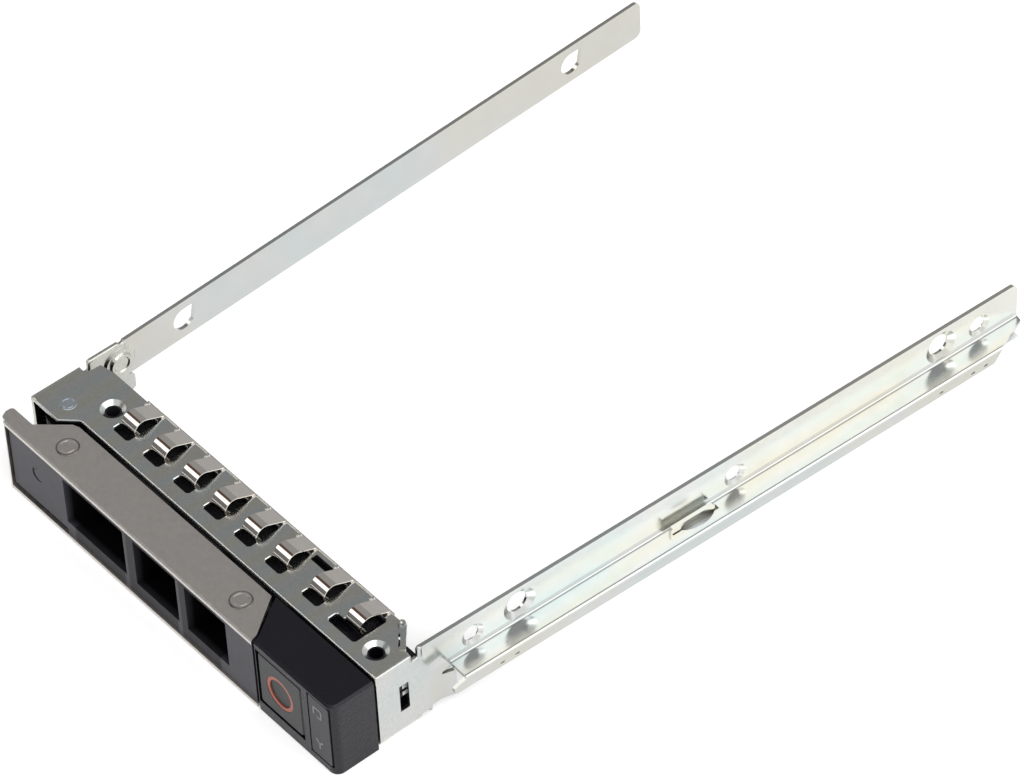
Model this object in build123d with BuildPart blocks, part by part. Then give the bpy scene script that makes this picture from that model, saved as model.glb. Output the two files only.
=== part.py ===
"""Hot swap drive caddy: a folded sheet frame with two side rails and a hinged front handle.

Units are millimetres. X runs across the front, +X towards the release button. Y runs from the
front face (negative) to the free ends of the rails (positive), with y = 0 at the front edge of the
frame's top plate. Z is up, with z = 0 at the underside of the front end.
"""
from build123d import *
import os
from math import atan2, cos, degrees, pi, radians, sin, tan

os.makedirs("parts", exist_ok=True)

# Folded sheet frame
sheet = 0.6                  # sheet thickness of frame and rails
frame_width = 74.4           # over the outside of the side walls
frame_height = 14.3          # underside to top face
top_bend = 1.0               # outside radius of the upper folds
bottom_bend = 1.5            # outside radius of the lower folds
plate_rear = 9.3             # rear edge of the top plate
floor_front = -0.25          # front edge of the bottom plate
tab_front = -2.35            # the left end of the top plate stands this far forward
fold_rear = 6.3              # rear end of the folds between top plate and side walls
relief = 1.1                 # notch behind each of those folds
relief_drop = 1.2            # depth of that notch below the top face

# Side rails
rail_top = 14.87             # top edge of both rails
rail_bottom = 7.95           # lower edge of the left rail
rail_end = 116.0             # free ends of the rails
splay = 2.2                  # degrees by which the free right rail stands outwards
left_splay = 2.4             # the same for the left rail
left_bend_y = 13.9           # where the left rail leaves the line of the frame
right_bend_y = 7.5           # the same for the right rail
rail_corner = 1.2            # corner radius of the free ends
shelf_top = 8.63             # top of the shelf folded outwards from the right rail
shelf_reach = 3.8            # outer face of the rail to outer face of the flange
shelf_start = 12.6           # front end of the shelf
shelf_end = 110.4            # rear end of the shelf's outer edge
flange_bottom = 6.45         # lower edge of the flange
flange_start = 10.5          # front end of the flange
wing_start = 11.6            # where the right wall's lower tongue turns outwards
wing_angle = 16.0            # degrees
wing_length = 2.2
fold_round = 0.5             # radii of the folds between rail, shelf and flange
left_tongue_end = 15.2       # rear end of the left wall's tongue
joggle = 0.33                # inward step of the right wall behind its crease
half = frame_width / 2
left_side = -half

# Drive screw holes, to the side hole pattern of a 2.5 inch drive
drive_hole_y = 24.9          # front pair
drive_hole_pitch = 76.6      # front pair to rear pair
drive_hole_z = 11.5
screw_radius = 1.75          # clearance for an M3 screw
screw_land = 0.4             # length of the plain hole under the countersink
sink_radius = 2.75           # mouth of the formed countersink
boss_radius = 2.5            # raised ring on the drive side
boss_height = 0.4
small_holes_y = (16.76, 63.3, 108.7)
small_hole_z = 11.1
small_hole_radius = 1.25
small_mouth_radius = 1.9

# Contact fingers on the top edge
finger_stock = 0.15
finger_width = 3.0
slot_width = 3.5
finger_first = left_side + 14.52   # middle of the first finger
finger_pitch = 6.86          # of all but the last two
finger_late = (half - 17.46, half - 9.6)   # middles of the last two fingers
finger_slope = 24.0          # degrees of the ramp that rises from the rear edge
finger_ramp = 3.3
crest_radius = 1.7
curl_radius = 0.75
slot_front = 2.45
slot_rear = 8.0

# Handle
pivot = (left_side + 4.8, 0.7)
handle_front = -7.95
handle_rear = -0.65
handle_drop = 0.5            # top of the handle below the top face of the frame
handle_skin = 0.8
claw_rear = -5.27            # rear side of the claw at the left end
claw_corner = left_side + 4.14   # right end of that side
handle_end = (half - 21.8, half - 17.2)   # right end, at the rear and at the front
rivet_radius = 1.75
shank = 0.9                  # corner radius of the rivets' shanks, and of their holes
shank_hole = 0.93
rivet_x = (left_side + 11.1, half - 24.0)
rivet_y = -4.25
panel_recess = 0.3
edge_bevel = 0.25            # along the handle's front edges
window_z = (3.2, frame_height - 2.4)
windows = ((left_side + 13.9, -9.5), (-7.2, 2.5), (4.4, half - 23.5))
ear_radius = 3.4
pin_radius = 1.1
pin_clearance = 0.05
head_radius = 1.25
head_height = 0.12

# Housing, release button and indicator
gap = 0.3                    # free gap between moving pieces
slip = 0.12                  # sliding clearance of the button and the latch
housing_front = -7.8
housing_right = half - 0.05
housing_top = frame_height - 0.4
housing_rear = 8.3
button_x = (half - 16.3, half - 7.0)
button_z = (2.3, frame_height - 2.0)
button_front = -7.75
button_depth = 3.0
button_travel = 1.5
ring_centre = (sum(button_x) / 2 - 0.15, sum(button_z) / 2 - 0.1)
ring_radius = 2.85
ring_width = 0.55
rim_gap = 0.22               # dark gap round the button's and the lens's front edges
lens_x = (half - 5.2, half - 0.9)
lens_z = (1.4, frame_height - 1.3)
lens_thickness = 0.9
latch_y = (-2.9, -1.7)       # front and rear faces of the latch slider
latch_z = (5.0, 9.0)
latch_tip = handle_end[0] + 0.1
latch_end = button_x[1] - 0.9
spring_wire = 0.3
spring_coil = 1.05           # middle radius of the button's and the latch's springs
spring_space = 0.2           # around each coil in its bore
coil_sides = 8               # straight runs to each turn of a spring

# Light pipes
pipe = 1.0                   # side of each square pipe
pipe_low_z = 6.65
pipe_high_z = 7.95
pipe_shelf_z = 7.1
pipe_lanes = (0.8, 2.15)     # distance of each pipe from the rail's outer face
clips_y = (22.5, 62.0, 102.0)
pipe_rear = 114.0

wall_in = half - sheet
roof = frame_height - sheet
lean = radians(splay)
left_lean = radians(left_splay)
pipe_inside_x = wall_in - joggle - 0.04 - pipe / 2
handle_top = frame_height - handle_drop

# Planes on the outer faces of the splayed rails: local x runs to the rear, local y is up
right_face = Plane(
    origin=(half, right_bend_y, 0), x_dir=(sin(lean), cos(lean), 0), z_dir=(cos(lean), -sin(lean), 0)
)
left_face = Plane(
    origin=(-half, left_bend_y, 0), x_dir=(-sin(left_lean), cos(left_lean), 0),
    z_dir=(cos(left_lean), sin(left_lean), 0),
)


def box(x, y, z, mode=Mode.ADD):
    """A box from pairs of limits along X, Y and Z."""
    centre = ((x[0] + x[1]) / 2, (y[0] + y[1]) / 2, (z[0] + z[1]) / 2)
    with Locations(centre):
        Box(x[1] - x[0], y[1] - y[0], z[1] - z[0], mode=mode)


def prism(points, z, mode=Mode.ADD):
    """A prism on a plan outline between two heights."""
    with BuildSketch(Plane.XY.offset(z[0])) as plan:
        with BuildLine():
            Polyline(*points, close=True)
        make_face()
    extrude(plan.sketch, amount=z[1] - z[0], mode=mode)


def blade(plane, points, thickness, mode=Mode.ADD):
    """A plate on an outline in the given plane, along the plane's normal."""
    with BuildSketch(plane) as outline:
        with BuildLine():
            Polyline(*points, close=True)
        make_face()
    extrude(outline.sketch, amount=thickness, mode=mode)


def seat(plane, centre):
    """Location on a plane at local coordinates."""
    return Plane(plane.from_local_coords((*centre, 0)), plane.x_dir, plane.z_dir).location


def rod(plane, centre, radius, length, mode=Mode.ADD):
    """A round rod, or a round hole, from the given plane along its normal."""
    with Locations(seat(plane, centre)):
        Cylinder(radius, length, align=(Align.CENTER, Align.CENTER, Align.MIN), mode=mode)


def cone(plane, centre, radii, length, mode=Mode.ADD):
    """A cone from the first radius, in the plane, to the second one."""
    with Locations(seat(plane, centre)):
        Cone(*radii, length, align=(Align.CENTER, Align.CENTER, Align.MIN), mode=mode)


def facets(plane, centre, radii, length, sides, mode=Mode.ADD):
    """A small rod or cone with flat sides, where its roundness hardly shows."""
    with BuildSketch(plane) as outline:
        with Locations(centre):
            RegularPolygon(radii[0], sides)
    taper = degrees(atan2(radii[0] - radii[1], length))
    extrude(outline.sketch, amount=length, taper=taper, mode=mode)


def along(plane, y):
    """Distance along a splayed rail at which it reaches a given y."""
    return (y - plane.origin.Y) / plane.x_dir.Y


def save(part, name):
    """Write one finished piece."""
    part.part.label = name
    export_step(part.part, f"parts/{name}.step")


finger_count = int((finger_late[0] - finger_first) / finger_pitch)
finger_centres = [finger_first + k * finger_pitch for k in range(finger_count)] + list(finger_late)
right_drive_holes = [along(right_face, drive_hole_y + k * drive_hole_pitch) for k in (0, 1)]
left_drive_holes = [along(left_face, drive_hole_y + k * drive_hole_pitch) for k in (0, 1)]
plate_holes = ((left_side + 9.85, 4.81), (half - 4.04, 3.4))


def frame_wrap():
    """The closed wrap of top plate, side walls and bottom plate, before it is trimmed."""
    with BuildSketch(Plane.XZ.offset(-tab_front)) as wrap:
        with Locations((0, frame_height / 2)):
            Rectangle(frame_width, frame_height)
        by_height = wrap.vertices().sort_by(Axis.Y)
        fillet(by_height[:2], bottom_bend)
        fillet(by_height[2:], top_bend)
    extrude(wrap.sketch, amount=tab_front - plate_rear)
    with BuildSketch(Plane.XZ.offset(-tab_front)) as hollow:
        with Locations((0, frame_height / 2)):
            Rectangle(frame_width - 2 * sheet, frame_height - 2 * sheet)
        by_height = hollow.vertices().sort_by(Axis.Y)
        fillet(by_height[:2], bottom_bend - sheet)
        fillet(by_height[2:], top_bend - sheet)
    extrude(hollow.sketch, amount=tab_front - plate_rear, mode=Mode.SUBTRACT)


def trim_front():
    """Cut the front edges back to the shape that clears the handle's claw."""
    high = (frame_height / 2, frame_height + 1)
    low = (-1, frame_height / 2)
    front = tab_front - 1
    corner = left_side + 6.2
    slope = ((corner, tab_front), (corner + 2.15, -0.2), (corner + 2.5, 0), (half + 1, 0))
    prism([(corner, front), *slope, (half + 1, front)], high, Mode.SUBTRACT)
    below = ((corner, tab_front), (corner + 2.15, -0.5), (corner + 2.5, floor_front), (half + 1, floor_front))
    prism([(corner, front), *below, (half + 1, front)], low, Mode.SUBTRACT)
    box((wall_in - 0.5, half + 1), (front, 0), (-1, frame_height + 1), Mode.SUBTRACT)


def trim_rear():
    """Cut the rear corners of both plates and the reliefs behind the folds."""
    top = (roof - 0.5, frame_height + 1)
    left = [(left_side, fold_rear), (left_side + 0.4, 6.7), (left_side + 1.6, 6.8)]
    left += [(left_side + 1.75, 8.85), (left_side + 3.0, 9.05), (left_side + 4.2, plate_rear)]
    left += [(left_side + 4.9, plate_rear + 1)]
    prism([*left, (-half - 1, plate_rear + 1), (-half - 1, fold_rear)], top, Mode.SUBTRACT)
    right = [(half, fold_rear - 0.1), (half - 1.4, 6.4), (half - 4.6, plate_rear), (half - 4.6, plate_rear + 1)]
    prism([*right, (half + 1, plate_rear + 1), (half + 1, 6.2)], top, Mode.SUBTRACT)
    for side in (-1, 1):
        edge = sorted((side * (half - 1.3), side * (half + 1)))
        notch = (frame_height - relief_drop, frame_height + 1)
        box(edge, (fold_rear, fold_rear + relief), notch, Mode.SUBTRACT)
        corner = [(side * (half + 1), 6.9), (side * (half - 2.2), 9.0), (side * (half + 1), 9.0)]
        prism(corner, (-1, sheet + 0.05), Mode.SUBTRACT)
        box(edge, (7.5, 9.2), (-1, bottom_bend), Mode.SUBTRACT)


def plate_slots():
    """Slots for the contact fingers, and the two countersunk holes of the top plate."""
    depth = 2 * sheet
    for x in finger_centres:
        left = x - slot_width / 2
        if x < finger_late[1]:
            cut = [(left, slot_front), (left + slot_width, slot_front)]
            cut += [(left + slot_width, slot_rear), (left, slot_rear)]
        else:
            cut = [(x - 3.4, 2.1), (x + 2.4, 2.1), (x + 2.4, slot_rear), (left, slot_rear), (left, 3.9)]
            cut += [(x - 3.4, 3.9)]
        with BuildSketch(Plane.XY.offset(roof - 0.4)) as opening:
            with BuildLine():
                Polyline(*cut, close=True)
            make_face()
            chamfer(opening.vertices(), 0.3)
        extrude(opening.sketch, amount=depth, mode=Mode.SUBTRACT)
        rim = 0.12
        with BuildSketch(Plane.XY.offset(frame_height)) as mouth:
            add(opening.sketch.moved(Location((0, 0, frame_height - roof + 0.4))))
            offset(amount=rim, kind=Kind.INTERSECTION)
        extrude(mouth.sketch, amount=-rim, taper=45, mode=Mode.SUBTRACT)
    box((half - 23.2, half - 19.4), (7.4, 8.6), (roof - 0.4, frame_height + 0.4), Mode.SUBTRACT)
    for x, y in plate_holes:
        cone(Plane.XY.offset(roof), (x, y), (1.25, 1.9), sheet, Mode.SUBTRACT)
    for low in (roof - 0.1, -0.1):
        facets(Plane.XY.offset(low), pivot, (0.95, 0.95), sheet + 0.2, 8, Mode.SUBTRACT)


def plate_edges():
    """Bevel along the plate's front edge, and the curled strip at its rear right corner."""
    bevel = 0.13
    edge = [(-0.01, frame_height - bevel), (bevel, frame_height + 0.01), (-0.01, frame_height + 0.01)]
    blade(Plane.YZ.offset(left_side + 8.8), edge, frame_width - 8.8, Mode.SUBTRACT)
    strip = [(half - 1.2, 6.35), (half - 4.7, 9.25), (half - 5.35, 8.6), (half - 1.9, 5.75)]
    prism(strip, (frame_height - 0.1, frame_height + 0.22))
    lobe = (half - 5.25, 9.0)
    facets(Plane.XY.offset(frame_height - 0.1), lobe, (0.75, 0.55), 0.65, 10)
    facets(Plane.XY.offset(frame_height + 0.2), lobe, (0.3, 0.3), 0.5, 8, Mode.SUBTRACT)
    slit = [(half - 2.25, 6.2), (half - 4.1, 7.72), (half - 4.25, 7.5), (half - 2.45, 6.0)]
    prism(slit, (roof - 0.1, frame_height + 0.5), Mode.SUBTRACT)


def left_wall_and_rail():
    """Left wall behind the folds, with its tongue, and the splayed left rail."""
    front = Plane(origin=(-half, 0, 0), x_dir=(0, 1, 0), z_dir=(1, 0, 0))
    crown = relief_drop + 0.2
    outline = [(fold_rear - 1, 1.7), (fold_rear - 1, frame_height - crown), (7.5, frame_height - crown)]
    outline += [(7.5, rail_top - 0.3), (7.8, rail_top), (13.0, rail_top), (13.15, rail_top - 0.35)]
    outline += [(13.6, rail_top - 0.35), (left_bend_y + 0.15, rail_top - 0.1)]
    outline += [(left_bend_y + 0.15, rail_bottom), (left_tongue_end - 0.4, rail_bottom - 0.3)]
    outline += [(left_tongue_end, 7.2), (left_tongue_end, 4.9), (14.5, 4.4), (9.0, 4.4), (9.0, 1.7)]
    blade(front, outline, sheet)
    length = along(left_face, rail_end)
    rail = [(-0.02, rail_bottom), (-0.02, rail_top), (length, rail_top), (length, rail_bottom)]
    with BuildSketch(left_face) as face:
        with BuildLine():
            Polyline(*rail, close=True)
        make_face()
        fillet(face.vertices().sort_by(Axis.X)[-2:], rail_corner)
    extrude(face.sketch, amount=sheet)
    for s in left_drive_holes:
        dee_hole(s)
    facets(left_face.offset(-0.1), (along(left_face, 46.2), 9.9), (0.35, 0.35), 0.4, 8, Mode.SUBTRACT)
    boss = (12.75, 11.3)
    facets(front.offset(sheet - 0.1), boss, (3.0, 2.5), 0.45, 24)
    facets(front.offset(sheet + 0.3), boss, (2.0, 1.75), 0.45, 24)
    facets(front.offset(sheet + 0.55), boss, (1.2, 1.45), 0.25, 24, Mode.SUBTRACT)


def dee_hole(s):
    """A hole with a rounded front and a pointed upper rear corner in the left rail."""
    z = drive_hole_z
    with BuildSketch(left_face.offset(-0.1)) as dee:
        with Locations((s, z)):
            Circle(1.9)
        with BuildLine():
            Polyline((s, z - 1.9), (s + 1.7, z - 1.2), (s + 2.3, z + 1.9), (s, z + 1.9), close=True)
        make_face()
    extrude(dee.sketch, amount=sheet + 0.2, mode=Mode.SUBTRACT)


def right_wall():
    """Right wall behind the fold: the inward step, the lower tongue and the light window."""
    side = Plane(origin=(wall_in, 0, 0), x_dir=(0, 1, 0), z_dir=(1, 0, 0))
    upper = [(5.5, 8.9), (5.5, frame_height - relief_drop - 0.2), (7.45, frame_height - relief_drop - 0.2)]
    upper += [(7.45, rail_top - 0.3), (7.75, rail_top), (7.9, rail_top), (7.9, 10.9), (7.3, 8.9)]
    blade(side, upper, sheet)
    inner = side.offset(-joggle)
    step = [(7.7, 1.7), (7.7, 9.9), (8.5, 10.9), (12.6, 10.9), (14.0, 9.0), (14.0, 6.7)]
    step += [(wing_start, 6.7), (wing_start, 1.45), (8.2, 1.45)]
    blade(inner, step, sheet)
    turn = radians(wing_angle)
    wing = Plane(
        origin=(wall_in - joggle, wing_start, 0), x_dir=(sin(turn), cos(turn), 0),
        z_dir=(cos(turn), -sin(turn), 0),
    )
    tip = [(wing_length - 0.3, 1.3), (wing_length, 1.6), (wing_length, 5.9), (wing_length - 0.2, 6.2)]
    blade(wing, [(-0.15, 1.45), *tip, (-0.15, 6.25)], sheet)
    box((wall_in - 0.5, half + 0.5), (3.83, 5.46), (4.65, 9.7), Mode.SUBTRACT)


def right_rail():
    """Splayed right rail: wall, shelf and flange folded from one strip."""
    length = along(right_face, rail_end)
    start = along(right_face, shelf_start)
    lip = along(right_face, flange_start)
    end = along(right_face, shelf_end)
    inner = right_face.offset(-sheet)
    rail = [(-0.02, shelf_top + 1.2), (-0.02, rail_top - 0.3), (0.3, rail_top), (length, rail_top)]
    rail += [(length, shelf_top - sheet), (start, shelf_top - sheet), (start, shelf_top + 0.2), (3.9, 11.0)]
    with BuildSketch(inner) as face:
        with BuildLine():
            Polyline(*rail, close=True)
        make_face()
        fillet(face.vertices().sort_by(Axis.X)[-2:].sort_by(Axis.Y)[-1], rail_corner)
    extrude(face.sketch, amount=sheet)
    flat = Plane(
        origin=(half, right_bend_y, shelf_top - sheet), x_dir=right_face.z_dir, z_dir=(0, 0, 1)
    )
    shelf = [(-sheet, start), (shelf_reach - 0.3, start), (shelf_reach - 0.3, end - 0.3)]
    shelf += [(1.2, length - 0.3), (-sheet, length)]
    blade(flat, shelf, sheet)
    outer = right_face.offset(shelf_reach - sheet)
    flange = [(start, shelf_top), (end - 0.3, shelf_top), (end - 1.2, flange_bottom + 0.9)]
    flange += [(end - 2.0, flange_bottom), (lip + 0.4, flange_bottom), (lip, flange_bottom + 0.4)]
    flange += [(lip, flange_bottom + 1.1), (start, shelf_top - 0.4)]
    blade(outer, flange, sheet)
    outside = shelf_reach - fold_round
    fold_corner((start - 1, length), outside, shelf_top - fold_round, 1, Mode.SUBTRACT)
    fold_corner((start, length - 0.3), fold_round, shelf_top + fold_round, -1, Mode.ADD)


def fold_corner(s, n, z, side, mode):
    """Round a fold along the right rail: what lies between its arc and its sharp corner."""
    across = Plane(right_face.from_local_coords((s[1], 0, 0)), right_face.z_dir, -right_face.x_dir)
    size = fold_round + 0.1
    with BuildSketch(across) as corner:
        with Locations((n + side * size / 2, z + side * size / 2)):
            Rectangle(size, size)
        with Locations((n, z)):
            Circle(fold_round, mode=Mode.SUBTRACT)
    extrude(corner.sketch, amount=s[1] - s[0], mode=mode)


def right_rail_details():
    """Holes, the lanced tab and the small slots of the right rail."""
    s0 = along(right_face, 50.5)
    s1 = along(right_face, 58.4)
    flat = Plane(
        origin=(half, right_bend_y, shelf_top - sheet - 0.2), x_dir=right_face.z_dir, z_dir=(0, 0, 1)
    )
    tab_out = 0.9            # inner face of the lanced tab, from the rail's outer face
    tab_face = tab_out + sheet
    with BuildSketch(flat) as dee:
        with BuildLine():
            Polyline(
                (tab_face, s1), (tab_face, s0 + 0.3), (tab_face + 0.15, s0 + 0.3), (tab_face + 0.15, s0 + 1.8)
            )
            ThreePointArc((tab_face + 0.15, s0 + 1.8), (tab_face + 1.15, s0 + 4.6), (tab_face, s1))
        make_face()
    extrude(dee.sketch, amount=sheet + 0.4, mode=Mode.SUBTRACT)
    edge = tab_face + 0.2
    relief_hole = [(0.75, s1), (tab_face, s1), (tab_face, s1 - 0.4), (edge, s1 - 0.4), (edge, s1 + 0.6)]
    relief_hole += [(0.75, s1 + 0.6)]
    blade(flat, relief_hole, sheet + 0.4, Mode.SUBTRACT)
    lance = [(s0, shelf_top - sheet), (s0, shelf_top + 0.9), (s0 + 0.3, shelf_top + 1.15)]
    lance += [(s1 - 0.3, shelf_top + 1.15), (s1, shelf_top + 0.9), (s1, shelf_top - sheet)]
    blade(right_face.offset(tab_out), lance, sheet)
    for s in right_drive_holes:
        countersunk(s, drive_hole_z)
    for y in small_holes_y:
        s = along(right_face, y)
        back = right_face.offset(-sheet - 0.1)
        radii = (small_hole_radius, small_hole_radius)
        facets(back, (s, small_hole_z), radii, sheet + 0.2, 24, Mode.SUBTRACT)
        depth = 0.45
        mouth = (small_hole_radius, small_mouth_radius)
        facets(right_face.offset(-depth), (s, small_hole_z), mouth, depth + 0.01, 24, Mode.SUBTRACT)
    outer = right_face.offset(shelf_reach - 0.2)
    for y in (18.4, 21.0, 98.0, 104.0, 106.4):
        s = along(right_face, y)
        mark = [(s, 7.05), (s + 0.7, 7.05), (s + 0.7, 7.4), (s, 7.4)]
        blade(outer, mark, 0.3, Mode.SUBTRACT)


def countersunk(s, z):
    """A formed countersink in the right rail, with its raised ring on the drive side."""
    back = right_face.offset(-sheet - boss_height)
    cone(back, (s, z), (boss_radius - 0.25, boss_radius + 0.15), boss_height + 0.01)
    rod(back.offset(-0.1), (s, z), screw_radius, boss_height + sheet + 0.2, Mode.SUBTRACT)
    depth = boss_height + sheet - screw_land
    cone(back.offset(screw_land), (s, z), (screw_radius, sink_radius), depth + 0.01, Mode.SUBTRACT)


with BuildPart() as folded_sheet:
    frame_wrap()
    trim_front()
    trim_rear()
    plate_slots()
    plate_edges()
    left_wall_and_rail()
    right_wall()
    right_rail()
    right_rail_details()

# The sheet as three solids, which meet face to face where its rails begin
left_seam = left_bend_y + 0.15
right_seam = right_bend_y + 0.6
beyond_left = ((left_side * 1.5, 0), (left_seam, rail_end + 10), (rail_bottom, frame_height + 5))
beyond_right = ((half - 1.3, half * 1.5), (right_seam, rail_end + 10), (-1, frame_height + 5))
with BuildPart() as carrier_frame:
    add(folded_sheet.part)
    box(*beyond_left, Mode.SUBTRACT)
    box(*beyond_right, Mode.SUBTRACT)
save(carrier_frame, "carrier_frame")

for name, beyond in (("carrier_rail_left", beyond_left), ("carrier_rail_right", beyond_right)):
    with BuildPart() as rail_part:
        add(folded_sheet.part)
        box(*beyond, Mode.INTERSECT)
    save(rail_part, name)


# Contact finger strip, clipped round the rear edge of the top plate
def finger_side(shift):
    """One side of a finger's profile: a ramp, the crest and the curl inside the slot."""
    slope = radians(finger_slope)
    run = (-cos(slope), sin(slope))
    root = (plate_rear + 0.02 - run[1] * shift, frame_height + 0.095 + run[0] * shift)
    ramp = Line(root, (root[0] + finger_ramp * run[0], root[1] + finger_ramp * run[1]))
    crest = JernArc(ramp @ 1, ramp % 1, crest_radius - shift, 90 + finger_slope)
    curl = JernArc(crest @ 1, crest % 1, curl_radius - shift, 120)
    return ramp @ 0, curl @ 1


with BuildPart() as emi_finger_strip:
    for x in finger_centres:
        with BuildSketch(Plane.YZ.offset(x - finger_width / 2)) as profile:
            with BuildLine():
                inner_root, inner_end = finger_side(finger_stock / 2)
                outer_root, outer_end = finger_side(-finger_stock / 2)
                Line(inner_root, outer_root)
                Line(inner_end, outer_end)
            make_face()
        extrude(profile.sketch, amount=finger_width)
    strip_x = (finger_centres[0] - 2.4, finger_centres[-1] + 2.2)
    lap = plate_rear + 0.02
    box(strip_x, (lap, lap + finger_stock), (roof - 0.17, frame_height + 0.17))
    box(strip_x, (8.15, lap + finger_stock), (roof - 0.17, roof - 0.02))
    box((half - 23.6, half - 19.0), (8.0, lap - 0.3), (roof - 0.3, roof), Mode.SUBTRACT)
    for x in finger_centres:
        box((x - 2.3, x + 1.7), (8.65, lap + finger_stock), (frame_height + 0.02, frame_height + 0.17))
        facets(Plane.XY.offset(frame_height + 0.16), (x - 1.9, 9.0), (0.38, 0.22), 0.2, 8)
save(emi_finger_strip, "emi_finger_strip")


# Black air duct behind the handle
duct_x = (left_side + 9.2, handle_end[1])
duct_top = frame_height - 1.6
with BuildPart() as air_duct:
    box(duct_x, (0.3, 8.9), (sheet + 0.02, duct_top))
    box((duct_x[0] + 4.0, duct_x[1] - 1.2), (0.2, 9.0), (sheet + 1.1, duct_top - 1.8), Mode.SUBTRACT)
    for x in (-8.3, 3.4):
        box((x - 0.6, x + 0.6), (0.3, 8.9), (sheet + 1, duct_top - 1.2))
    box((duct_x[0] - 1, duct_x[1] + 1), (2.6, 8.95), (duct_top - 0.75, duct_top + 1), Mode.SUBTRACT)
    rod(Plane.XY.offset(sheet + 0.02), plate_holes[0], 2.1, roof - sheet - 0.04)
    rod(Plane.XY.offset(roof - 6), plate_holes[0], 1.0, 7, Mode.SUBTRACT)
save(air_duct, "air_duct")


# Handle
def handle_outline(inset):
    """Plan outline of the handle, drawn in by a given amount except at the rear side."""
    tip = [(0.8, handle_front), (-0.1, -7.4), (-0.55, -6.5), (-0.5, -5.6), (-0.15, claw_rear)]
    tip = [(left_side + x + inset, max(y, handle_front + inset)) for x, y in tip]
    claw = [(claw_corner, claw_rear), (left_side + 8.1, -1.05), (left_side + 9.2, handle_rear)]
    front = handle_end[1] - inset * 0.9
    end = [(handle_end[0] - inset * 0.7, handle_rear), (front - 0.4, -6.6), (front, handle_front + inset)]
    return [*tip, *claw, *end]


with BuildPart() as handle_shell:
    prism(handle_outline(0), (0, handle_top))
    hollow = handle_outline(handle_skin)
    hollow = [(x + (0.0 if x < 0 else 3.0), y) for x, y in hollow]
    inner = (handle_skin, handle_top - handle_skin)
    skin_x = left_side + 0.2 + handle_skin
    box((skin_x, half), (handle_front - 1, 5), inner, Mode.SUBTRACT)
    box((left_side - 1.3, skin_x), (-5.9, 0), inner, Mode.SUBTRACT)
    tip_x = (left_side - 1.3, left_side + 0.8)
    box(tip_x, (handle_front - 1, handle_front + 0.35), (-1, handle_top + 1), Mode.SUBTRACT)
    near = (handle_front - 0.01, handle_front + edge_bevel)
    high = [(near[0], handle_top - edge_bevel), (near[1], handle_top + 0.01), (near[0], handle_top + 0.01)]
    blade(Plane.YZ.offset(left_side - 0.8), high, frame_width, Mode.SUBTRACT)
    deep = [(near[0], edge_bevel), (near[1], -0.01), (near[0], -0.01)]
    blade(Plane.YZ.offset(left_side - 0.8), deep, frame_width, Mode.SUBTRACT)
    for x in rivet_x:
        for low in (handle_top - handle_skin - 0.1, -0.1):
            facets(Plane.XY.offset(low), (x, rivet_y), (shank_hole, shank_hole), 1, 8, Mode.SUBTRACT)
save(handle_shell, "handle_shell")

core = (handle_skin + 0.02, handle_top - handle_skin - 0.02)
neck = (3.3, frame_height - 1.4)
with BuildPart() as handle_grille:
    panel = handle_front + panel_recess
    body = [(left_side + 1.05, -5.9), (left_side + 1.05, panel), (handle_end[1] - 0.3, panel)]
    body += [(handle_end[1] - 0.75, -6.6), (handle_end[0] - 0.3, -0.7), (left_side + 9.6, -0.7)]
    body += [(left_side + 8.2, -1.3), (claw_corner - 0.1, -5.6)]
    prism(body, core)
    for left, right in windows:
        mouth = [(left + 1.6, 0), (left, handle_front), (right, handle_front)]
        # the wall beside the right window thickens where the rivet passes through it
        inward = right - 1.9 if right > rivet_x[1] else right
        mouth += [(right, handle_front + 0.9), (inward, handle_front + 2.0), (inward, 0)]
        prism(mouth, window_z, Mode.SUBTRACT)
    rod(Plane.XY.offset(neck[0]), pivot, ear_radius, neck[1] - neck[0])
    web = [(1.5, 1.7), (4.1, -1.0), (2.1, -3.4), (-1.5, -1.9)]
    prism([(pivot[0] + x, y) for x, y in web], neck)
    rod(Plane.XY.offset(0), pivot, pin_radius + pin_clearance, frame_height, Mode.SUBTRACT)
    notch = (handle_end[0] - 0.2, handle_end[1] + 0.5)
    box(notch, (-3.3, 0), (latch_z[0] - gap, latch_z[1] + gap), Mode.SUBTRACT)
    box((left_side + 0.6, left_side + 1.5), (-9, panel + 0.5), (-1, frame_height), Mode.SUBTRACT)
    box((left_side + 0.6, windows[0][0] - 0.1), (-9, panel + 0.5), (0, 1.6), Mode.SUBTRACT)
    for x in rivet_x:
        facets(Plane.XY, (x, rivet_y), (shank_hole, shank_hole), frame_height, 8, Mode.SUBTRACT)
    with BuildSketch(Plane.XZ.offset(-panel)) as crescent:
        with Locations((left_side + 7.6, 7.8)):
            Circle(1.25)
        with Locations((left_side + 8.05, 7.95)):
            Circle(1.1, mode=Mode.SUBTRACT)
    extrude(crescent.sketch, amount=-0.15, mode=Mode.SUBTRACT)
save(handle_grille, "handle_grille")

for name, x in zip(("handle_rivet_left", "handle_rivet_right"), rivet_x):
    with BuildPart() as rivet:
        facets(Plane.XY.offset(0.05), (x, rivet_y), (shank, shank), handle_top, 8)
        cone(Plane.XY.offset(handle_top + 0.01), (x, rivet_y), (rivet_radius, rivet_radius - 0.1), head_height)
        with BuildSketch(Plane.XY.offset(handle_top + head_height + 0.01)) as groove:
            with Locations((x, rivet_y)):
                Circle(1.2)
                Circle(1.05, mode=Mode.SUBTRACT)
        extrude(groove.sketch, amount=-0.08, mode=Mode.SUBTRACT)
    save(rivet, name)

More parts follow.
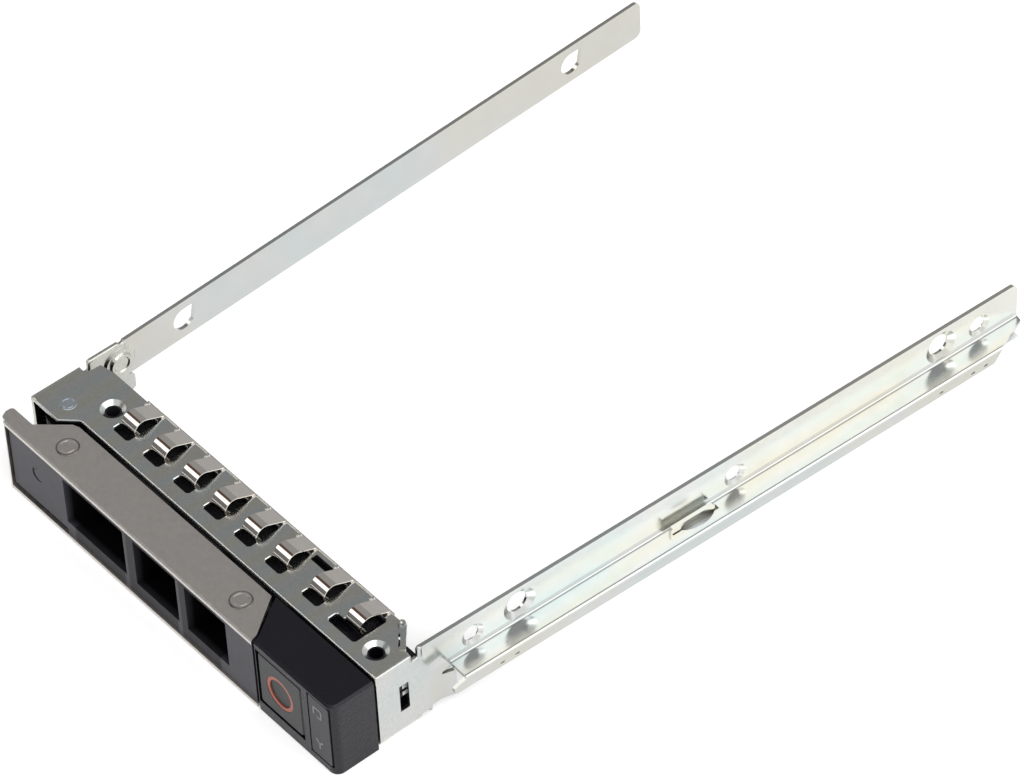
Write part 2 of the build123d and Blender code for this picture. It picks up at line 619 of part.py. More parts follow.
with BuildPart() as handle_pivot_pin:
    rod(Plane.XY.offset(sheet + 0.01), pivot, pin_radius, roof - sheet - 0.02)
    facets(Plane.XY.offset(0.05), pivot, (0.92, 0.92), frame_height, 8)
    cone(Plane.XY.offset(frame_height + 0.01), pivot, (head_radius, head_radius - 0.06), head_height)
    with BuildSketch(Plane.XY.offset(frame_height + head_height + 0.01)) as groove:
        with Locations(pivot):
            Circle(0.95)
            Circle(0.82, mode=Mode.SUBTRACT)
    extrude(groove.sketch, amount=-0.08, mode=Mode.SUBTRACT)
save(handle_pivot_pin, "handle_pivot_pin")


# Housing of the release button, indicator and light pipes
nose = (handle_end[0] + gap + 0.1, handle_end[1] + gap + 0.1)
pocket_y = -3.1
pocket_x = (button_x[0] - slip, button_x[1] + slip)
pocket_z = (button_z[0] - slip, button_z[1] + slip)
inside = (sheet + 0.03, roof - 0.03)
button_seat = (sum(button_x) / 2, button_z[1] - 1.65)  # middle of the button's spring
button_seat_y = -0.95
bore_radius = spring_coil + spring_wire / 2 + spring_space
latch_middle = ((latch_y[0] + latch_y[1]) / 2, (latch_z[0] + latch_z[1]) / 2)
latch_seat_x = half - 3.2
stem_top = frame_height - 1.9
with BuildPart() as button_housing:
    front = [(nose[1], housing_front), (housing_right, housing_front), (housing_right, -0.35)]
    front += [(nose[0] + 0.25, -0.35), (nose[1] - 0.4, -6.6)]
    prism(front, (0, housing_top))
    corner = button_housing.edges().filter_by(Axis.Z).sort_by(Axis.X)[-2:].sort_by(Axis.Y)[0]
    fillet(corner, 1.4)
    rim = button_housing.faces().sort_by(Axis.Z)[-1].edges().sort_by(Axis.Y)
    chamfer([e for e in rim if e.center().Y < -0.5 and e.center().X > nose[1]], 0.35)
    stem = [(nose[0] + 1.6, -0.5), (wall_in - 0.05, -0.5), (wall_in - 0.05, 7.2)]
    stem += [(wall_in - joggle - 0.1, 7.4), (wall_in - joggle - 0.1, housing_rear - 0.3)]
    stem += [(half - 3.6, housing_rear - 0.3), (nose[1] + 0.1, housing_rear - 0.3), (nose[1] + 0.1, 0.3)]
    stem += [(nose[0] + 1.6, 0.3)]
    prism(stem, (inside[0], stem_top))
    box((half - 1.8, half - 0.2), (-0.35, 9), (0, 1.65), Mode.SUBTRACT)
    rod(Plane.XY.offset(stem_top - 0.1), plate_holes[1], 2.1, inside[1] - stem_top + 0.1)
    rod(Plane.XY.offset(stem_top - 2.9), plate_holes[1], 1.0, 5, Mode.SUBTRACT)
    box((button_x[0] + 1.1, button_x[1] - 0.6), (1.2, 9.0), (2.2, frame_height - 3.3), Mode.SUBTRACT)
    box(pocket_x, (-9, pocket_y), pocket_z, Mode.SUBTRACT)
    lens_seat = housing_front + lens_thickness
    lens_room = [(low - 0.05, high + 0.05) for low, high in (lens_x, lens_z)]
    box(lens_room[0], (-9, lens_seat), lens_room[1], Mode.SUBTRACT)
    for x, z, depth in ((pocket_x, pocket_z, 0.6), (lens_x, lens_z, 0.4)):
        wide = (x[0] - rim_gap, x[1] + rim_gap)
        tall = (z[0] - rim_gap, z[1] + rim_gap)
        box(wide, (-9, housing_front + depth), tall, Mode.SUBTRACT)
    slot_z = (latch_z[0] - slip, latch_z[1] + slip)
    slot_end = latch_end + button_travel + 0.2
    box((nose[0] - 1, slot_end), (pocket_y - 0.05, latch_y[1] + slip), slot_z, Mode.SUBTRACT)
    wide = (bore_radius * 1.08, bore_radius * 1.08)
    facets(Plane.XZ.offset(-button_seat_y), button_seat, wide, 3, 8, Mode.SUBTRACT)
    deep = latch_seat_x - slot_end + 0.1
    facets(Plane.YZ.offset(slot_end - 0.1), latch_middle, wide, deep, 8, Mode.SUBTRACT)
    lane = (pipe_inside_x - pipe / 2 - 0.06, pipe_inside_x + pipe / 2 + 0.06)
    lane_z = (pipe_low_z - pipe / 2 - 0.06, pipe_high_z + pipe / 2 + 0.06)
    box(lane, (-9, 9), lane_z, Mode.SUBTRACT)
    box((lane[0], half), (3.4, 5.9), (4.3, 10.1), Mode.SUBTRACT)
save(button_housing, "button_housing")

with BuildPart() as indicator_lens:
    box(lens_x, (housing_front + 0.03, housing_front + lens_thickness - 0.02), lens_z)
    chamfer(indicator_lens.edges().filter_by(Axis.Y), 0.2)
save(indicator_lens, "indicator_lens")


# Release button with its ring, and the latch slider that it drives
button_rear = button_front + button_depth
ring_face = Plane.XZ.offset(-button_front)
button_back = Plane.XZ.offset(-button_rear)
button_bore = 1.6            # depth of the spring's bore in the back of the button
post_x = (button_x[0] + 1.5, button_x[0] + 3.7)   # wedge on the back of the button
post_z = (6.0, 8.0)
post_end = latch_y[0] - 0.4
post_gap = 0.2               # between wedge and slider, along X
with BuildPart() as release_button:
    box(button_x, (button_front, button_rear), button_z)
    chamfer(release_button.edges().filter_by(Axis.Y), 0.4)
    chamfer(release_button.faces().sort_by(Axis.Y)[0].edges(), 0.2)
    rod(ring_face.offset(-0.7), ring_centre, ring_radius + 0.02, 1, Mode.SUBTRACT)
    rod(ring_face.offset(-0.71), ring_centre, ring_radius - ring_width - 0.02, 0.46)
    wedge = post_end - button_rear
    post = [(post_x[0], button_rear - 0.1), (post_x[1], button_rear - 0.1), (post_x[1], button_rear)]
    post += [(post_x[1] - wedge, post_end), (post_x[0], post_end)]
    prism(post, post_z)
    facets(button_back.offset(-0.1), button_seat, wide, button_bore + 0.1, 8, Mode.SUBTRACT)
save(release_button, "release_button")

with BuildPart() as button_ring:
    rod(ring_face.offset(-0.68), ring_centre, ring_radius, 0.63)
    rod(ring_face.offset(-0.7), ring_centre, ring_radius - ring_width, 1, Mode.SUBTRACT)
save(button_ring, "button_ring")

with BuildPart() as latch_slider:
    tooth = [(latch_tip, latch_y[1]), (latch_tip, latch_y[1] - 0.3), (latch_tip + 0.9, latch_y[0])]
    prism([*tooth, (latch_end, latch_y[0]), (latch_end, latch_y[1])], latch_z)
    # the slanted side follows the wedge of the button, one to one
    near = post_x[1] + button_rear - latch_y[0] + post_gap
    window = [(post_x[0] - button_travel - post_gap, latch_y[0] - 0.1)]
    window += [(near + 0.1, latch_y[0] - 0.1), (near - 1.3, latch_y[1] + 0.1)]
    window += [(post_x[0] - button_travel - post_gap, latch_y[1] + 0.1)]
    prism(window, (post_z[0] - slip, post_z[1] + slip), Mode.SUBTRACT)
save(latch_slider, "latch_slider")


def coil(start, direction, wire, radius, length, turns):
    """A coil spring from a point along a direction, with a few straight runs to each turn."""
    frame = Plane(start, z_dir=direction)
    count = coil_sides * turns
    points = []
    for k in range(count + 1):
        turn = 2 * pi * k / coil_sides
        around = (radius * cos(turn), radius * sin(turn), (length - wire) * k / count)
        points.append(frame.from_local_coords(around))
    with BuildLine() as path:
        Polyline(*points)
    with BuildSketch(Plane(points[0], x_dir=frame.x_dir, z_dir=path.line % 0)) as section:
        Rectangle(wire, wire)
    sweep(section.sketch, path=path.line, transition=Transition.RIGHT)


# Both small springs are drawn at the length that they have with the button pressed
with BuildPart() as button_spring:
    pressed = button_rear + button_travel - button_bore
    start_y = button_seat_y - 0.05 - spring_wire / 2
    start = (button_seat[0], start_y, button_seat[1])
    coil(start, (0, -1, 0), spring_wire, spring_coil, button_seat_y - pressed - 0.1, 5)
save(button_spring, "button_spring")

with BuildPart() as latch_spring:
    start_x = latch_end + button_travel + 0.08
    start = (start_x + spring_wire / 2, *latch_middle)
    coil(start, (1, 0, 0), spring_wire, spring_coil, latch_seat_x - start_x - 0.05, 4)
save(latch_spring, "latch_spring")

torsion_wire = 0.5
torsion_radius = 2.0
with BuildPart() as handle_spring:
    start = (*pivot, sheet + 0.03 + torsion_wire / 2)
    coil(start, (0, 0, 1), torsion_wire, torsion_radius, neck[0] - sheet - 0.2, 3)
save(handle_spring, "handle_spring")


# Light pipes from the indicator to the free end of the right rail, and their clips
def lane_point(lane, y, z):
    """A point under the shelf, at a distance outwards from the rail's outer face."""
    return (half + (y - right_bend_y) * tan(lean) + lane / cos(lean), y, z)


def light_pipe(points):
    """A square pipe through the points."""
    with BuildLine() as path:
        Polyline(*points)
    with BuildSketch(Plane.XZ.offset(-points[0][1])) as section:
        with Locations((points[0][0], points[0][2])):
            Rectangle(pipe, pipe)
    sweep(section.sketch, path=path.line, transition=Transition.RIGHT)


pipe_front = housing_front + lens_thickness + 0.03
with BuildPart() as light_pipe_upper:
    light_pipe([
        (pipe_inside_x, pipe_front, pipe_high_z), (pipe_inside_x, 15.7, pipe_high_z),
        (pipe_inside_x, 17.1, pipe_shelf_z), (pipe_inside_x, 17.4, pipe_shelf_z),
    ])
    light_pipe([
        (pipe_inside_x, 17.4, pipe_shelf_z), (pipe_inside_x, 17.7, pipe_shelf_z),
        lane_point(pipe_lanes[0], 20.6, pipe_shelf_z), lane_point(pipe_lanes[0], pipe_rear, pipe_shelf_z),
    ])
save(light_pipe_upper, "light_pipe_upper")

with BuildPart() as light_pipe_lower:
    light_pipe([
        (pipe_inside_x, pipe_front, pipe_low_z), (pipe_inside_x, 14.5, pipe_low_z),
        lane_point(pipe_lanes[1], 18.3, pipe_shelf_z), lane_point(pipe_lanes[1], pipe_rear, pipe_shelf_z),
    ])
save(light_pipe_lower, "light_pipe_lower")

clip_names = ("light_pipe_clip_front", "light_pipe_clip_middle", "light_pipe_clip_rear")
for name, y in zip(clip_names, clips_y):
    with BuildPart() as clip:
        s = along(right_face, y)
        across = Plane(right_face.from_local_coords((s, 0, 0)), right_face.z_dir, -right_face.x_dir)
        reach = shelf_reach - sheet - 0.02
        roof_z = shelf_top - sheet - 0.02
        profile = [(-0.3, 5.9), (-0.3, roof_z), (reach, roof_z), (reach, 5.9)]
        blade(across.offset(-1.5), profile, 3)
        for lane in pipe_lanes:
            notch = (lane - pipe / 2 - 0.05, lane + pipe / 2 + 0.05)
            low = pipe_shelf_z - pipe / 2 - 0.05
            cut = [(notch[0], low), (notch[0], low + 3), (notch[1], low + 3), (notch[1], low)]
            blade(across.offset(-2), cut, 4, Mode.SUBTRACT)
    save(clip, name)
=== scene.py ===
from math import cos, radians, sin

import bpy
import bmesh
from mathutils import Matrix, Vector


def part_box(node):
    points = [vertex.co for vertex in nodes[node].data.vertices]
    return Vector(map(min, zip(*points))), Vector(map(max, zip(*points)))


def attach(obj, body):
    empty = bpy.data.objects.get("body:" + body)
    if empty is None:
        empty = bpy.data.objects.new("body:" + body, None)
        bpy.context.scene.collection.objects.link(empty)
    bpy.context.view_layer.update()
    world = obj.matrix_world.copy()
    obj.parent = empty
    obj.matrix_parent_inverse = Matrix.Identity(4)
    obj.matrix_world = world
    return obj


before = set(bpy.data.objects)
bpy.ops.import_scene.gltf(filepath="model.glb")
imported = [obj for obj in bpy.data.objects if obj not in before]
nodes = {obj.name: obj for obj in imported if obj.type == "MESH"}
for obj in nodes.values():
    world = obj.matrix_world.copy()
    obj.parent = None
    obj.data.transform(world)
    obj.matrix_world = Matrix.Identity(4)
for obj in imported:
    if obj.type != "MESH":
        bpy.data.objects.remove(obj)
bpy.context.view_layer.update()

scene = bpy.context.scene
scene.view_settings.view_transform = "Standard"
mm = 0.001


# Camera at the photograph's viewing angle
picture_width = 1024
focal_pixels = 5808.658
sensor = 36.0
right = Vector((0.647196064, 0.761385084, -0.037815459))
down = Vector((0.529453599, -0.484630717, -0.696284392))
ahead = Vector((-0.548467084, 0.430610987, -0.716769165))
eye = Vector((0.459422, -0.305361, 0.604152))
camera_data = bpy.data.cameras.new("camera")
camera_data.sensor_fit = "HORIZONTAL"
camera_data.sensor_width = sensor
camera_data.lens = focal_pixels * sensor / picture_width
camera_data.clip_start = 0.01
camera = bpy.data.objects.new("camera", camera_data)
turn = Matrix((right, -down, -ahead)).transposed()
camera.matrix_world = Matrix.Translation(eye) @ turn.to_4x4()
scene.collection.objects.link(camera)
scene.camera = camera


# Node helpers
def new_material(name):
    """An empty material with a principled shader, and helpers to add nodes to it."""
    m = bpy.data.materials.new(name)
    m.use_nodes = True
    tree = m.node_tree
    return m, tree, tree.nodes["Principled BSDF"]


def add(tree, kind, **values):
    """A new node; each value sets an input of that name, or else a property."""
    n = tree.nodes.new(kind)
    for key, value in values.items():
        if key in n.inputs:
            n.inputs[key].default_value = value
        else:
            setattr(n, key, value)
    return n


def feed(tree, value, target):
    """Link an input to a socket, or give it a fixed value."""
    if isinstance(value, bpy.types.NodeSocket):
        tree.links.new(value, target)
    else:
        target.default_value = value


def compute(tree, operation, *values):
    """The result of one sum; each value is a socket or a number."""
    n = add(tree, "ShaderNodeMath", operation=operation)
    for k, value in enumerate(values):
        feed(tree, value, n.inputs[k])
    return n.outputs["Value"]


def noise(tree, scale, detail=3.0, rough=0.5, stretch=(1, 1, 1), offset=(0, 0, 0)):
    """Noise in object space; the scale is in cycles per metre."""
    place = add(tree, "ShaderNodeTexCoord")
    shape = add(tree, "ShaderNodeMapping", Scale=stretch, Location=offset)
    tree.links.new(place.outputs["Object"], shape.inputs["Vector"])
    n = add(tree, "ShaderNodeTexNoise", Scale=scale, Detail=detail, Roughness=rough)
    tree.links.new(shape.outputs["Vector"], n.inputs["Vector"])
    return n.outputs["Fac"]


def ramp(tree, source, stops):
    """A colour ramp; each stop is a place and a grey value or a colour."""
    r = add(tree, "ShaderNodeValToRGB")
    while len(r.color_ramp.elements) < len(stops):
        r.color_ramp.elements.new(0.5)
    for element, (place, value) in zip(r.color_ramp.elements, stops):
        element.position = place
        colour = value if isinstance(value, tuple) else (value, value, value)
        element.color = (*colour, 1)
    tree.links.new(source, r.inputs["Fac"])
    return r.outputs["Color"]


def uneven(tree, source, middle, spread):
    """Values or colours that vary with a noise, by the spread to both sides of the middle."""
    low, high = 0.3, 0.7
    if isinstance(middle, tuple):
        stops = [(low, shade(middle, 1 - spread)), (high, shade(middle, 1 + spread))]
    else:
        stops = [(low, max(0.02, middle - spread)), (high, middle + spread)]
    return ramp(tree, source, stops)


def shade(value, amount):
    return tuple(min(1.0, max(0.0, v * amount)) for v in value)


def bump(tree, shader, height, strength, distance):
    b = add(tree, "ShaderNodeBump", Strength=strength, Distance=distance)
    tree.links.new(height, b.inputs["Height"])
    tree.links.new(b.outputs["Normal"], shader.inputs["Normal"])


def metal(name, colour, roughness, spread=0.06, mottle=900, contrast=0.12, brushed=(1, 1, 1), relief=0.25):
    """Bare or plated metal with faint patches, fine scratches and uneven gloss."""
    m, tree, s = new_material(name)
    s.inputs["Metallic"].default_value = 1.0
    patches = noise(tree, mottle, 4, 0.6)
    tree.links.new(uneven(tree, patches, colour, contrast), s.inputs["Base Color"])
    gloss = noise(tree, mottle * 1.7, 3, 0.55, offset=(0.3, 0.1, 0.2))
    tree.links.new(uneven(tree, gloss, roughness, spread), s.inputs["Roughness"])
    lines = noise(tree, 1400, 3, 0.6, stretch=brushed)
    bump(tree, s, lines, relief, 0.02 * mm)
    return m


def plastic(name, colour, roughness, grain=6000, depth=0.03 * mm, gleam=0.5):
    """Moulded plastic with a fine grain and slightly uneven tone."""
    m, tree, s = new_material(name)
    s.inputs["Specular IOR Level"].default_value = gleam
    s.inputs["Specular Tint"].default_value = (0.95, 0.93, 1.0, 1)
    tone = noise(tree, 350, 3, 0.5)
    tree.links.new(uneven(tree, tone, colour, 0.12), s.inputs["Base Color"])
    fine = noise(tree, grain, 2, 0.5)
    tree.links.new(uneven(tree, fine, roughness, 0.05), s.inputs["Roughness"])
    bump(tree, s, fine, 0.35, depth)
    return m


def object_axes(tree):
    """The three object coordinates, in metres."""
    place = add(tree, "ShaderNodeTexCoord")
    parts = add(tree, "ShaderNodeSeparateXYZ")
    tree.links.new(place.outputs["Object"], parts.inputs["Vector"])
    return parts.outputs


def fade(tree, value, low, high):
    """From 0 to 1 while a value goes from low to high."""
    n = add(tree, "ShaderNodeMapRange")
    n.inputs["From Min"].default_value = low
    n.inputs["From Max"].default_value = high
    tree.links.new(value, n.inputs["Value"])
    return n.outputs["Result"]


def product(tree, a, b):
    return compute(tree, "MULTIPLY", a, b)


def away_from(tree, value, place):
    """How far a coordinate is from a place on its axis."""
    return compute(tree, "ABSOLUTE", compute(tree, "SUBTRACT", value, place))


def reach(tree, node, kept):
    """Distance from the middle of a round node, measured along the two kept axes."""
    low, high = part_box(node)
    axes = object_axes(tree)
    place = add(tree, "ShaderNodeCombineXYZ")
    middle = Vector((0, 0, 0))
    for k in kept:
        tree.links.new(axes[k], place.inputs[k])
        middle[k] = (low[k] + high[k]) / 2
    far = add(tree, "ShaderNodeVectorMath", operation="DISTANCE")
    tree.links.new(place.outputs["Vector"], far.inputs[0])
    far.inputs[1].default_value = middle
    return far.outputs["Value"]


def dull(m, factor, gleam):
    """Bring a plastic's gleam to a lower level where the factor is 1."""
    tree = m.node_tree
    s = tree.nodes["Principled BSDF"]
    level = add(tree, "ShaderNodeMapRange")
    level.inputs["To Min"].default_value = s.inputs["Specular IOR Level"].default_value
    level.inputs["To Max"].default_value = gleam
    tree.links.new(factor, level.inputs["Value"])
    tree.links.new(level.outputs["Result"], s.inputs["Specular IOR Level"])


def tint(m, colour, factor=1.0):
    """Multiply a material's colour by another where the factor is 1."""
    tree = m.node_tree
    s = tree.nodes["Principled BSDF"]
    mix = add(tree, "ShaderNodeMix", data_type="RGBA", blend_type="MULTIPLY")
    # a mix node's sockets share their names, so they go by number: factor, two colours and the result
    feed(tree, factor, mix.inputs[0])
    feed(tree, s.inputs["Base Color"].links[0].from_socket, mix.inputs[6])
    feed(tree, (*colour, 1) if isinstance(colour, tuple) else colour, mix.inputs[7])
    tree.links.new(mix.outputs[2], s.inputs["Base Color"])


def rainbow(m):
    """Faint rainbow tints of the plating."""
    tree = m.node_tree
    waves = add(tree, "ShaderNodeTexWave", Scale=70.0, Distortion=3.0, Detail=2.0)
    place = add(tree, "ShaderNodeTexCoord")
    tree.links.new(place.outputs["Object"], waves.inputs["Vector"])
    straw, plain, sea = (1.0, 0.985, 0.92), (1.0, 1.0, 1.0), (0.93, 0.99, 1.0)
    tint(m, ramp(tree, waves.outputs["Fac"], [(0.0, straw), (0.5, plain), (1.0, sea)]))


# Materials
zinc = metal("zinc_sheet", (0.51, 0.513, 0.50), 0.24, mottle=1800, contrast=0.05, spread=0.05, relief=0.3)
rail = {"mottle": 300, "contrast": 0.02, "spread": 0.03, "relief": 0.08}
zinc_left = metal("zinc_left_rail", (0.51, 0.51, 0.50), 0.24, **rail)
# Painted light: the right rail's zinc is 1.25 times lighter than the same zinc elsewhere, for the light falling on
# it; the painted shade further down brings it back to 0.51 below its shelf and at its front end
zinc_right_painted_lighter = metal("zinc_right_rail", (0.6375, 0.641, 0.625), 0.20, **rail)
polished = metal("spring_steel", (0.70, 0.66, 0.62), 0.10, spread=0.02, contrast=0.03, brushed=(12, 1, 1), relief=0.1)
handle_metal = metal("handle_metal", (0.57, 0.535, 0.505), 0.36, mottle=1200, contrast=0.05, brushed=(1, 12, 1))
rivet_steel = metal("rivet_steel", (0.56, 0.53, 0.505), 0.3, contrast=0.05)
pin_steel = metal("pin_steel", (0.52, 0.56, 0.60), 0.28, contrast=0.05)
black = plastic("black_plastic", (0.010, 0.010, 0.012), 0.55, gleam=0.3)
grille = plastic("grille_plastic", (0.030, 0.029, 0.036), 0.48, gleam=0.43)
housing = plastic("housing_plastic", (0.0032, 0.0030, 0.0052), 0.37, grain=2600, depth=0.16 * mm, gleam=0.33)
button = plastic("button_plastic", (0.016, 0.018, 0.018), 0.4, gleam=0.34)
ring = plastic("ring_plastic", (0.36, 0.10, 0.06), 0.42, gleam=0.4)
indicator = plastic("indicator_plastic", (0.012, 0.012, 0.016), 0.34, gleam=0.27)
pipe = plastic("clear_pipe", (0.80, 0.82, 0.82), 0.2)
mark = plastic("pale_mark", (0.20, 0.20, 0.22), 0.5)

for plated in (zinc, zinc_left, zinc_right_painted_lighter):
    rainbow(plated)

# Painted shade on the grille: it is dark inside its windows, and on its front round and between them,
# but for a line left light at the left side of each bar; its gleam is lowered in the same places
windows_left, windows_right = -21.4 * mm, 11.6 * mm
bar_lines = (-9.4 * mm, 2.6 * mm)
tree = grille.node_tree
axes = object_axes(tree)
front_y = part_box("handle_grille")[0][1]
painted_window_shade = fade(tree, axes[1], front_y + 0.2 * mm, front_y + 1.2 * mm)
painted_front_shade = product(tree, fade(tree, axes[0], windows_left - 0.2 * mm, windows_left),
                 fade(tree, axes[0], windows_right + 0.2 * mm, windows_right))
for line in bar_lines:
    painted_front_shade = product(tree, painted_front_shade, fade(tree, away_from(tree, axes[0], line), 0.4 * mm, 0.6 * mm))
# painted shade inside the windows, then on the front around them
tint(grille, (0.08, 0.08, 0.08), painted_window_shade)
tint(grille, (0.4, 0.4, 0.4), painted_front_shade)
dull(grille, compute(tree, "MAXIMUM", painted_window_shade, product(tree, painted_front_shade, 0.6)), 0.06)

# Of the light pipes only two small squares are bright where the wall's window shows them
squares_y, squares_z = 5.4 * mm, 7.3 * mm
squares_apart = 1.3 * mm
tree = pipe.node_tree
axes = object_axes(tree)
from_square = compute(tree, "PINGPONG", away_from(tree, axes[2], squares_z), squares_apart / 2)
beyond_z = fade(tree, from_square, 0.34 * mm, 0.26 * mm)
beyond_y = fade(tree, away_from(tree, axes[1], squares_y), 0.30 * mm, 0.38 * mm)
at_window = fade(tree, axes[1], 8.5 * mm, 7.5 * mm)
unlit = product(tree, compute(tree, "MAXIMUM", beyond_z, beyond_y), at_window)
tint(pipe, (0.02, 0.02, 0.02), unlit)
dull(pipe, unlit, 0.1)

# The disc inside the button's ring is darker than the button
tree = button.node_tree
low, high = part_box("button_ring")
disc = (high[0] - low[0]) / 2 - 0.4 * mm
tint(button, (0.55, 0.6, 0.6), fade(tree, reach(tree, "button_ring", (0, 2)), disc + 0.1 * mm, disc))

# The rim of each rivet's head is dark
tree = rivet_steel.node_tree
rims = []
for name in ("handle_rivet_left", "handle_rivet_right"):
    low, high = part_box(name)
    head = (high[0] - low[0]) / 2
    rims.append(fade(tree, reach(tree, name, (0, 1)), head - 0.3 * mm, head - 0.2 * mm))
tint(rivet_steel, (0.35, 0.32, 0.30), product(tree, *rims))

# Painted shade on the right rail: its colour is darker below its shelf and at its front end, and darker still in the
# crease between rail and shelf
half_width = 37.2 * mm
rail_front = 7.5 * mm
rail_lean = radians(2.2)
shelf_z = 8.5 * mm
tree = zinc_right_painted_lighter.node_tree
axes = object_axes(tree)
place = add(tree, "ShaderNodeTexCoord")
outwards = add(tree, "ShaderNodeVectorMath", operation="DOT_PRODUCT")
tree.links.new(place.outputs["Object"], outwards.inputs[0])
outwards.inputs[1].default_value = (cos(rail_lean), -sin(rail_lean), 0)
outer_face = half_width * cos(rail_lean) - rail_front * sin(rail_lean)
painted_light_zone = product(tree, fade(tree, axes[2], shelf_z - 0.3 * mm, shelf_z), fade(tree, axes[1], 8.5 * mm, 18 * mm))
# painted shade: 0.8 times darker everywhere but above the shelf and behind the front end
tint(zinc_right_painted_lighter, ramp(tree, painted_light_zone, [(0.0, 0.8), (1.0, 1.0)]))
out = outwards.outputs["Value"]
at_face = product(tree, fade(tree, out, outer_face + 0.65 * mm, outer_face + 0.4 * mm),
                  fade(tree, out, outer_face + 0.01 * mm, outer_face + 0.08 * mm))
# painted shade along the crease between rail and shelf
crease_painted_shade = product(tree, at_face, fade(tree, axes[2], 9.2 * mm, 9.0 * mm))
tint(zinc_right_painted_lighter, (0.72, 0.72, 0.72), crease_painted_shade)

# The folds between the top plate and the side walls look round, and so does the plate's front edge
fold_radius, edge_radius = 0.8 * mm, 0.4 * mm
tree = zinc.node_tree
axes = object_axes(tree)
at_top = fade(tree, axes[2], 12.8 * mm, 13.2 * mm)
at_fold = product(tree, fade(tree, compute(tree, "ABSOLUTE", axes[0]), 35.8 * mm, 36.2 * mm), at_top)
at_edge = product(tree, fade(tree, axes[1], 1.2 * mm, 0.9 * mm), at_top)
radius = compute(tree, "MAXIMUM", product(tree, at_fold, fold_radius), product(tree, at_edge, edge_radius))
rounded = add(tree, "ShaderNodeBevel", samples=16)
tree.links.new(radius, rounded.inputs["Radius"])
relief = tree.nodes["Principled BSDF"].inputs["Normal"].links[0].from_node
tree.links.new(rounded.outputs["Normal"], relief.inputs["Normal"])

looks = {
    "carrier_frame": zinc, "carrier_rail_left": zinc_left, "carrier_rail_right": zinc_right_painted_lighter,
    "emi_finger_strip": polished, "air_duct": black, "button_housing": housing,
    "indicator_lens": indicator, "handle_shell": handle_metal, "handle_grille": grille,
    "handle_rivet_left": rivet_steel, "handle_rivet_right": rivet_steel, "handle_pivot_pin": pin_steel,
    "handle_spring": polished, "release_button": button, "button_ring": ring, "button_spring": polished,
    "latch_slider": black, "latch_spring": polished, "light_pipe_upper": pipe, "light_pipe_lower": pipe,
    "light_pipe_clip_front": black, "light_pipe_clip_middle": black, "light_pipe_clip_rear": black,
}
for name, look in looks.items():
    mesh = nodes[name].data
    mesh.materials.clear()
    mesh.materials.append(look)


def piece(name, bm, look):
    """Turn finished mesh data into a piece that stays with the frame."""
    mesh = bpy.data.meshes.new(name)
    bm.to_mesh(mesh)
    bm.free()
    o = bpy.data.objects.new(name, mesh)
    scene.collection.objects.link(o)
    mesh.materials.append(look)
    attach(o, "frame")


# Two pale printed signs on the indicator
lens_low, lens_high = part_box("indicator_lens")


def sign(name, strokes, centre, width=0.28 * mm):
    """Flat strokes on the front of the indicator, each from one point to another, in mm from the centre."""
    behind, before = lens_low[1] - 0.005 * mm, lens_low[1] - 0.03 * mm
    bm = bmesh.new()
    for start, end in strokes:
        ends = [Vector((centre[0] + x * mm, 0, centre[1] + z * mm)) for x, z in (start, end)]
        run = (ends[1] - ends[0]).normalized()
        side = Vector((run.z, 0, -run.x)) * width / 2
        corners = [ends[0] - side, ends[0] + side, ends[1] + side, ends[1] - side]
        back = [bm.verts.new((c.x, behind, c.z)) for c in corners]
        front = [bm.verts.new((c.x, before, c.z)) for c in corners]
        bm.faces.new(front)
        bm.faces.new(back[::-1])
        for k in range(4):
            after = (k + 1) % 4
            bm.faces.new((back[k], back[after], front[after], front[k]))
    bmesh.ops.recalc_face_normals(bm, faces=bm.faces)
    piece(name, bm, mark)


sign_x = (lens_low[0] + lens_high[0]) / 2 - 0.3 * mm
sign_inset = 2.6 * mm
bracket = [((-0.8, 0.9), (-0.8, -0.5)), ((-0.8, 0.9), (0.8, 0.9)),
           ((0.8, 0.9), (0.8, -0.7)), ((-0.1, -0.7), (0.8, -0.7))]
arrow = [((0, 0.1), (0, -0.9)), ((0, 0.1), (-0.7, 0.8)), ((0, 0.1), (0.7, 0.7))]
sign("sign_upper", bracket, (sign_x, lens_high[2] - sign_inset))
sign("sign_lower", arrow, (sign_x, lens_low[2] + sign_inset))

# Black rib of the inner plastic part, behind the duct and under the rear edge of the top plate
rib_right = 30.5 * mm
duct_low, duct_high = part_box("air_duct")
rib_low = Vector((duct_low[0] + 0.5 * mm, duct_high[1] + 0.05 * mm, duct_high[2] - 4.5 * mm))
rib_high = Vector((rib_right, duct_high[1] + 0.3 * mm, duct_high[2] - 0.4 * mm))
bm = bmesh.new()
bmesh.ops.create_cube(bm, size=1.0)
for v in bm.verts:
    v.co = (rib_low + rib_high) / 2 + v.co * (rib_high - rib_low)
bmesh.ops.bevel(bm, geom=bm.edges[:], offset=0.04 * mm, segments=2, affect="EDGES", profile=0.5)
piece("duct_rib", bm, black)

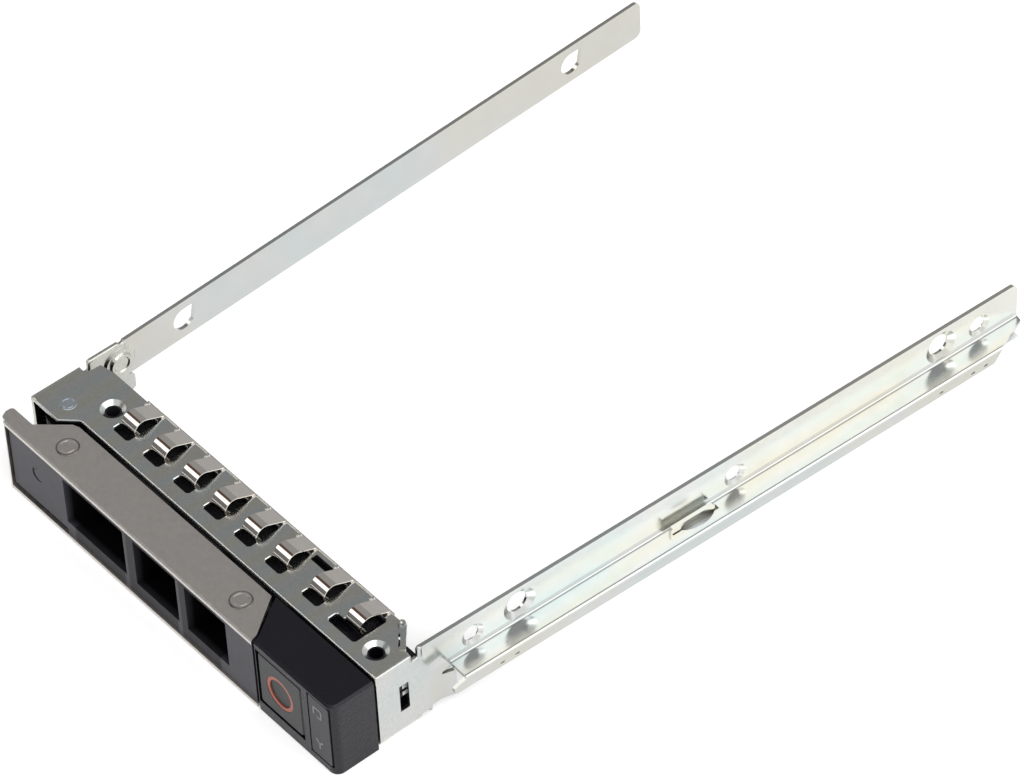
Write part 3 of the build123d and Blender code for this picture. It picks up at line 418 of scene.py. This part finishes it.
# Floor; its own glow makes its background white and leaves the object's shadow on it
floor_half, floor_z = 3.0, -0.2 * mm
mesh = bpy.data.meshes.new("floor")
corners = [(x * floor_half, y * floor_half, floor_z) for x, y in ((-1, -1), (1, -1), (1, 1), (-1, 1))]
mesh.from_pydata(corners, [], [(0, 1, 2, 3)])
floor = bpy.data.objects.new("floor", mesh)
scene.collection.objects.link(floor)
white, tree, s = new_material("floor")
s.inputs["Base Color"].default_value = (0.9, 0.9, 0.9, 1)
s.inputs["Roughness"].default_value = 0.9
s.inputs["Specular IOR Level"].default_value = 0.1
path = add(tree, "ShaderNodeLightPath")
seen = compute(tree, "MAXIMUM", path.outputs["Is Camera Ray"], path.outputs["Is Glossy Ray"])
seen = compute(tree, "MAXIMUM", seen, path.outputs["Is Transmission Ray"])
s.inputs["Emission Color"].default_value = (1, 1, 1, 1)
tree.links.new(product(tree, seen, 0.32), s.inputs["Emission Strength"])
mesh.materials.append(white)

# The studio: dark above and behind, bright at the sides, with a soft box at the upper left front
world = bpy.data.worlds.new("studio")
scene.world = world
world.use_nodes = True
tree = world.node_tree
back = tree.nodes["Background"]
place = add(tree, "ShaderNodeTexCoord")


def towards(way, stops):
    """A brightness that depends on how near a direction is to the given one."""
    aim = add(tree, "ShaderNodeVectorMath", operation="DOT_PRODUCT")
    aim.inputs[1].default_value = Vector(way).normalized()
    tree.links.new(place.outputs["Generated"], aim.inputs[0])
    return ramp(tree, aim.outputs["Value"], stops)


def combine(operation, *values):
    n = add(tree, "ShaderNodeVectorMath", operation=operation)
    for k, value in enumerate(values):
        feed(tree, value, n.inputs[k])
    return n.outputs["Vector"]


sky = towards((-0.56, 0.44, 0.70), [(0.55, 1.0), (0.88, 0.37)])
low_dark = towards((-0.55, -0.81, 0.20), [(0.88, 1.0), (0.95, 0.2)])
brown_bar = towards((-0.548, -0.043, 0.835), [(0.978, 1.0), (0.992, (0.30, 0.17, 0.13))])
soft_box = towards((-0.548, -0.45, 0.705), [(0.968, 0.0), (0.982, 1.0)])
side_box = towards((0.64, 0.43, 0.64), [(0.88, 0.0), (0.95, 1.0)])
light = combine("MULTIPLY", combine("MULTIPLY", sky, low_dark), brown_bar)
light = combine("MULTIPLY_ADD", side_box, (1.4, 1.4, 1.4), light)
light = combine("MULTIPLY_ADD", soft_box, (1.6, 1.6, 1.6), light)
tree.links.new(light, back.inputs["Color"])
back.inputs["Strength"].default_value = 1.0

# Key lamp, from the right front
key_place, key_target = Vector((0.9, -0.3, 1.3)), Vector((0, 0.05, 0))
key_data = bpy.data.lights.new("key", "AREA")
key_data.shape = "RECTANGLE"
key_data.size = key_data.size_y = 0.8
key_data.energy = 6.0
key = bpy.data.objects.new("key", key_data)
key.location = key_place
key.rotation_euler = (key_target - key_place).to_track_quat("-Z", "Y").to_euler()
scene.collection.objects.link(key)
